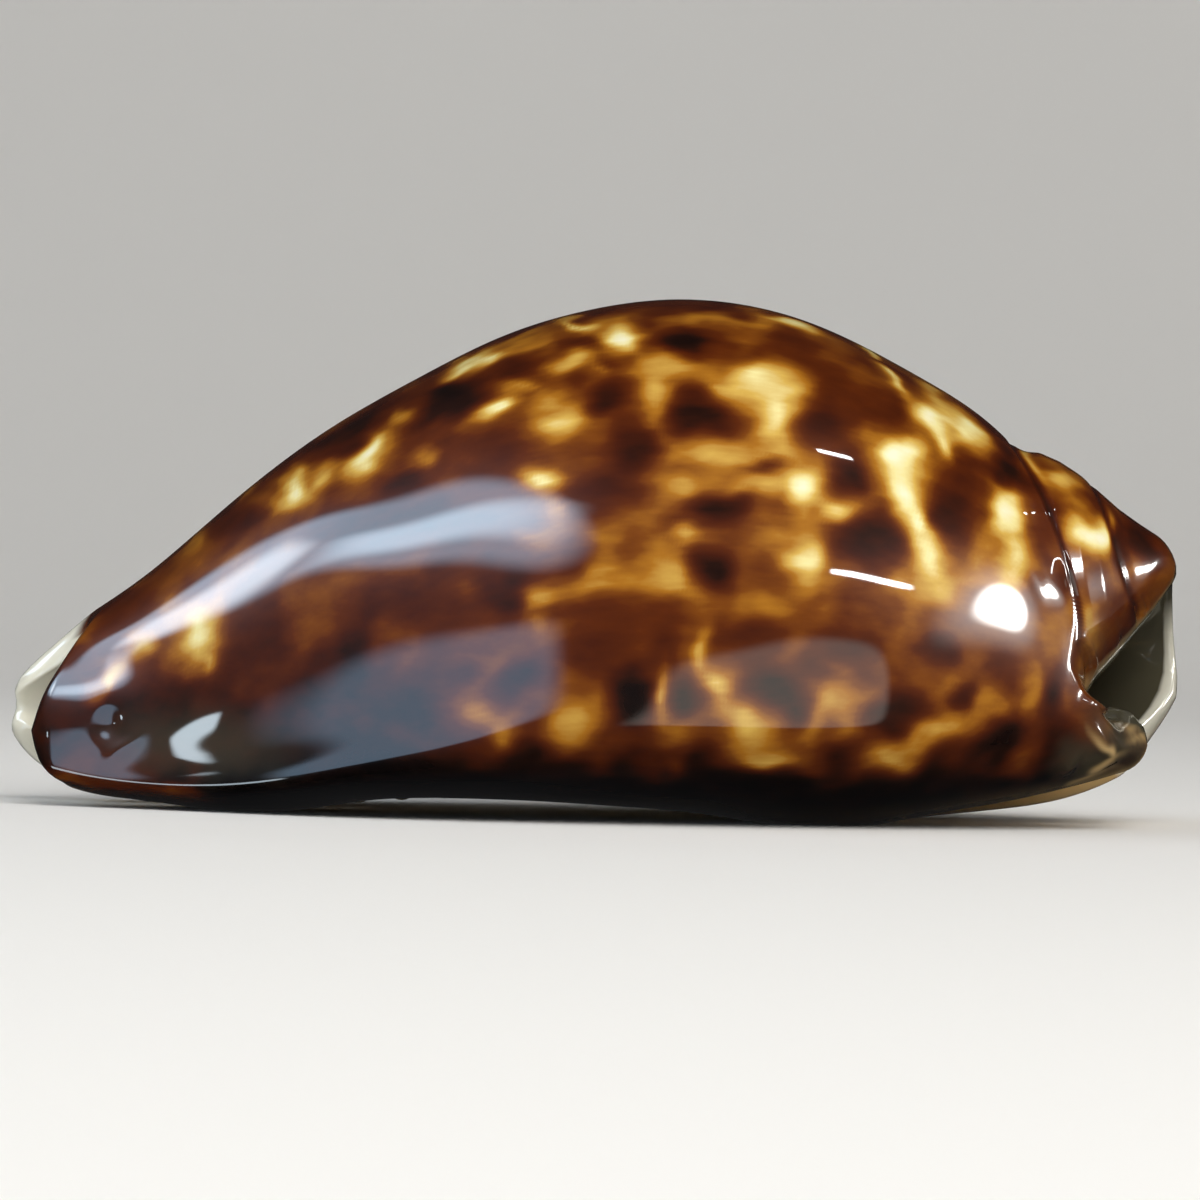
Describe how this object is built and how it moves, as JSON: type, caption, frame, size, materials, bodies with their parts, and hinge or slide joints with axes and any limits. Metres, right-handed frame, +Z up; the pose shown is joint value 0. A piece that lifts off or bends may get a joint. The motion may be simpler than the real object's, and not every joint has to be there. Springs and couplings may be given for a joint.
{
  "type": "cowry shell",
  "caption": "Glossy egg-shaped cowry shell with a tapering front end, a blunt spire and a narrow toothed slit along its base.",
  "frame": {"origin": "middle of the bounding box's bottom face, on the surface that the shell rests on", "axes": "+X towards the spire, -X towards the narrow front end, +Y towards the outer lip, +Z up through the back"},
  "size_m": [0.08, 0.043, 0.0353],
  "materials": {
    "shell": "natural glassy enamel, chestnut and near-black blotches over amber and cream, cream canal rims"
  },
  "bodies": {
    "root": {"shell": "shell"}
  },
  "joints": []
}
